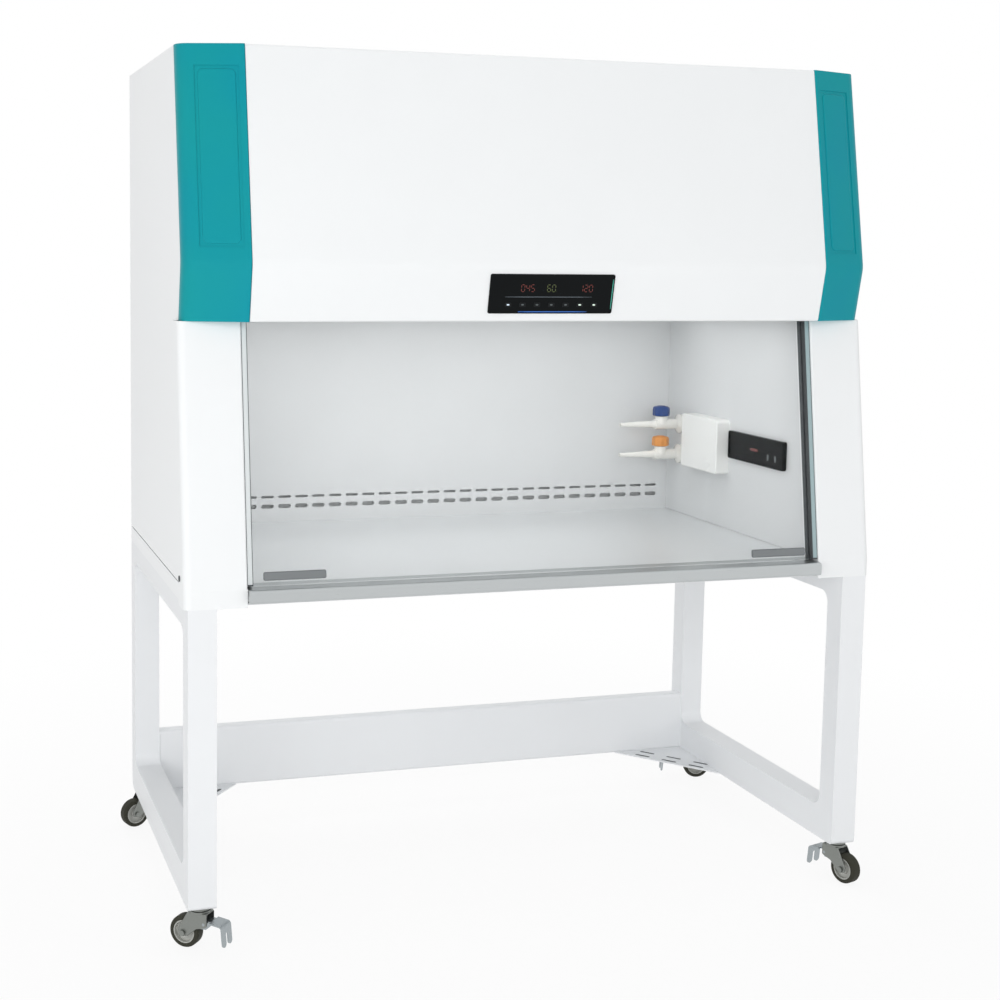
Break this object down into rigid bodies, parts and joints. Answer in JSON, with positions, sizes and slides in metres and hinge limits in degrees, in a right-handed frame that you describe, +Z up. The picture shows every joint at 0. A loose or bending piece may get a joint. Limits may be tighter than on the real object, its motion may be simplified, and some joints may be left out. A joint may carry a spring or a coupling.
{
  "type": "laminar flow hood",
  "caption": "Vertical laminar flow hood: sliding glass sash, bevelled display hood, slotted steel chamber with service taps, on a rectangular castored stand.",
  "frame": {"origin": "on the floor under the middle of the whole bench, casters included", "axes": "+X to the user's right along the front, +Y from the user to the back, +Z up"},
  "size_m": [1.5514, 0.8204, 1.771],
  "materials": {
    "white_coat": "smooth satin powder coat",
    "grey_frame": "smooth satin powder coat on square tube",
    "teal_moulding": "fine satin moulded plastic",
    "stainless": "fine brushed, satin",
    "chamber_lining": "fine brushed stainless, satin",
    "safety_glass": "clear polished float glass",
    "dark_fitting": "satin",
    "black_panel": "glossy",
    "key_face": "satin",
    "service_white": "semi-gloss",
    "cock_white": "enamelled, semi-gloss",
    "knob_blue": "semi-gloss",
    "knob_orange": "semi-gloss",
    "screen_white": "smooth satin",
    "lamp_glass": "opal glass, satin",
    "holder_white": "satin",
    "filter_aluminium": "mill finish",
    "filter_paper": "pleated glass-fibre paper",
    "galvanised": "galvanised",
    "motor_metal": "cast, satin",
    "impeller_metal": "galvanised",
    "pad_fibre": "coarse fibre pad",
    "zinc_plate": "zinc plated, slightly dull",
    "tyre_rubber": "matt moulded rubber",
    "hub_plastic": "satin moulded",
    "pedal_metal": "zinc plated, slightly dull"
  },
  "bodies": {
    "cabinet": {"stand_frame_left": "grey_frame", "stand_frame_right": "grey_frame", "rear_crossbar": "grey_frame", "corner_gussets": "grey_frame", "base_tray": "white_coat", "front_sill": "stainless", "work_surface": "stainless", "foot_caps": "white_coat", "side_panel_left": "white_coat", "side_panel_right": "white_coat", "rear_panel": "white_coat", "roof_panel": "white_coat", "hood_front": "white_coat", "trim_left": "teal_moulding", "trim_right": "teal_moulding", "post_left": "white_coat", "post_right": "white_coat", "post_plugs": "dark_fitting", "sash_guides": "dark_fitting", "chamber_back_wall": "chamber_lining", "inner_wall_left": "chamber_lining", "inner_wall_right": "chamber_lining", "diffuser": "screen_white", "lamp_trough": "screen_white", "lamp_tubes": "lamp_glass", "lamp_holders": "holder_white", "filter_frame": "filter_aluminium", "filter_media": "filter_paper", "plenum_box": "galvanised", "blower_housing": "galvanised", "blower_motor": "motor_metal", "inlet_grille": "white_coat", "prefilter_pad": "pad_fibre", "display_panel": "black_panel", "display_keys": "key_face", "service_panel": "black_panel", "service_box": "service_white", "cock_bodies": "cock_white", "caster_stems": "zinc_plate"},
    "sash": {"sash_glass": "safety_glass", "sash_handles": "dark_fitting"},
    "blower_wheel": {"impeller": "impeller_metal"},
    "blue_knob": {"cock_knob_blue": "knob_blue"},
    "orange_knob": {"cock_knob_orange": "knob_orange"},
    "fork_fl": {"caster_fl_fork": "zinc_plate"},
    "wheel_fl": {"caster_fl_tyre": "tyre_rubber", "caster_fl_hub": "hub_plastic"},
    "pedal_fl": {"caster_fl_pedal": "pedal_metal"},
    "fork_fr": {"caster_fr_fork": "zinc_plate"},
    "wheel_fr": {"caster_fr_tyre": "tyre_rubber", "caster_fr_hub": "hub_plastic"},
    "pedal_fr": {"caster_fr_pedal": "pedal_metal"},
    "fork_bl": {"caster_bl_fork": "zinc_plate"},
    "wheel_bl": {"caster_bl_tyre": "tyre_rubber", "caster_bl_hub": "hub_plastic"},
    "pedal_bl": {"caster_bl_pedal": "pedal_metal"},
    "fork_br": {"caster_br_fork": "zinc_plate"},
    "wheel_br": {"caster_br_tyre": "tyre_rubber", "caster_br_hub": "hub_plastic"},
    "pedal_br": {"caster_br_pedal": "pedal_metal"}
  },
  "joints": [
    {"name": "sash_slide", "type": "slide", "parent": "cabinet", "child": "sash", "axis": [0, 0.1422, 0.9898], "range_m": [0, 0.46]},
    {"name": "blower_spin", "type": "hinge", "parent": "cabinet", "child": "blower_wheel", "pos_m": [0, 0.08931, 1.571], "axis": [1, 0, 0], "continuous": true},
    {"name": "blue_knob_turn", "type": "hinge", "parent": "cabinet", "child": "blue_knob", "pos_m": [0.577, 0.29631, 0.97], "axis": [0, 0, 1], "range_deg": [0, 90]},
    {"name": "orange_knob_turn", "type": "hinge", "parent": "cabinet", "child": "orange_knob", "pos_m": [0.577, 0.29631, 0.894], "axis": [0, 0, 1], "range_deg": [0, 90]},
    {"name": "swivel_fl", "type": "hinge", "parent": "cabinet", "child": "fork_fl", "pos_m": [-0.7135, -0.34819, 0.078], "axis": [0, 0, 1], "continuous": true},
    {"name": "roll_fl", "type": "hinge", "parent": "fork_fl", "child": "wheel_fl", "pos_m": [-0.73648, -0.32891, 0.0325], "axis": [-0.6428, -0.766, 0], "continuous": true},
    {"name": "brake_fl", "type": "hinge", "parent": "fork_fl", "child": "pedal_fl", "pos_m": [-0.70048, -0.35912, 0.057], "axis": [0.6428, 0.766, 0], "range_deg": [0, 10]},
    {"name": "swivel_fr", "type": "hinge", "parent": "cabinet", "child": "fork_fr", "pos_m": [0.7135, -0.34819, 0.078], "axis": [0, 0, 1], "continuous": true},
    {"name": "roll_fr", "type": "hinge", "parent": "fork_fr", "child": "wheel_fr", "pos_m": [0.72277, -0.37672, 0.0325], "axis": [0.9511, 0.309, 0], "continuous": true},
    {"name": "brake_fr", "type": "hinge", "parent": "fork_fr", "child": "pedal_fr", "pos_m": [0.70825, -0.33202, 0.057], "axis": [-0.9511, -0.309, 0], "range_deg": [0, 10]},
    {"name": "swivel_bl", "type": "hinge", "parent": "cabinet", "child": "fork_bl", "pos_m": [-0.7135, 0.37381, 0.078], "axis": [0, 0, 1], "continuous": true},
    {"name": "roll_bl", "type": "hinge", "parent": "fork_bl", "child": "wheel_bl", "pos_m": [-0.74219, 0.36504, 0.0325], "axis": [0.2924, -0.9563, 0], "continuous": true},
    {"name": "brake_bl", "type": "hinge", "parent": "fork_bl", "child": "pedal_bl", "pos_m": [-0.69724, 0.37878, 0.057], "axis": [-0.2924, 0.9563, 0], "range_deg": [0, 10]},
    {"name": "swivel_br", "type": "hinge", "parent": "cabinet", "child": "fork_br", "pos_m": [0.7135, 0.37381, 0.078], "axis": [0, 0, 1], "continuous": true},
    {"name": "roll_br", "type": "hinge", "parent": "fork_br", "child": "wheel_br", "pos_m": [0.74219, 0.36504, 0.0325], "axis": [0.2924, 0.9563, 0], "continuous": true},
    {"name": "brake_br", "type": "hinge", "parent": "fork_br", "child": "pedal_br", "pos_m": [0.69724, 0.37878, 0.057], "axis": [-0.2924, -0.9563, 0], "range_deg": [0, 10]}
  ]
}
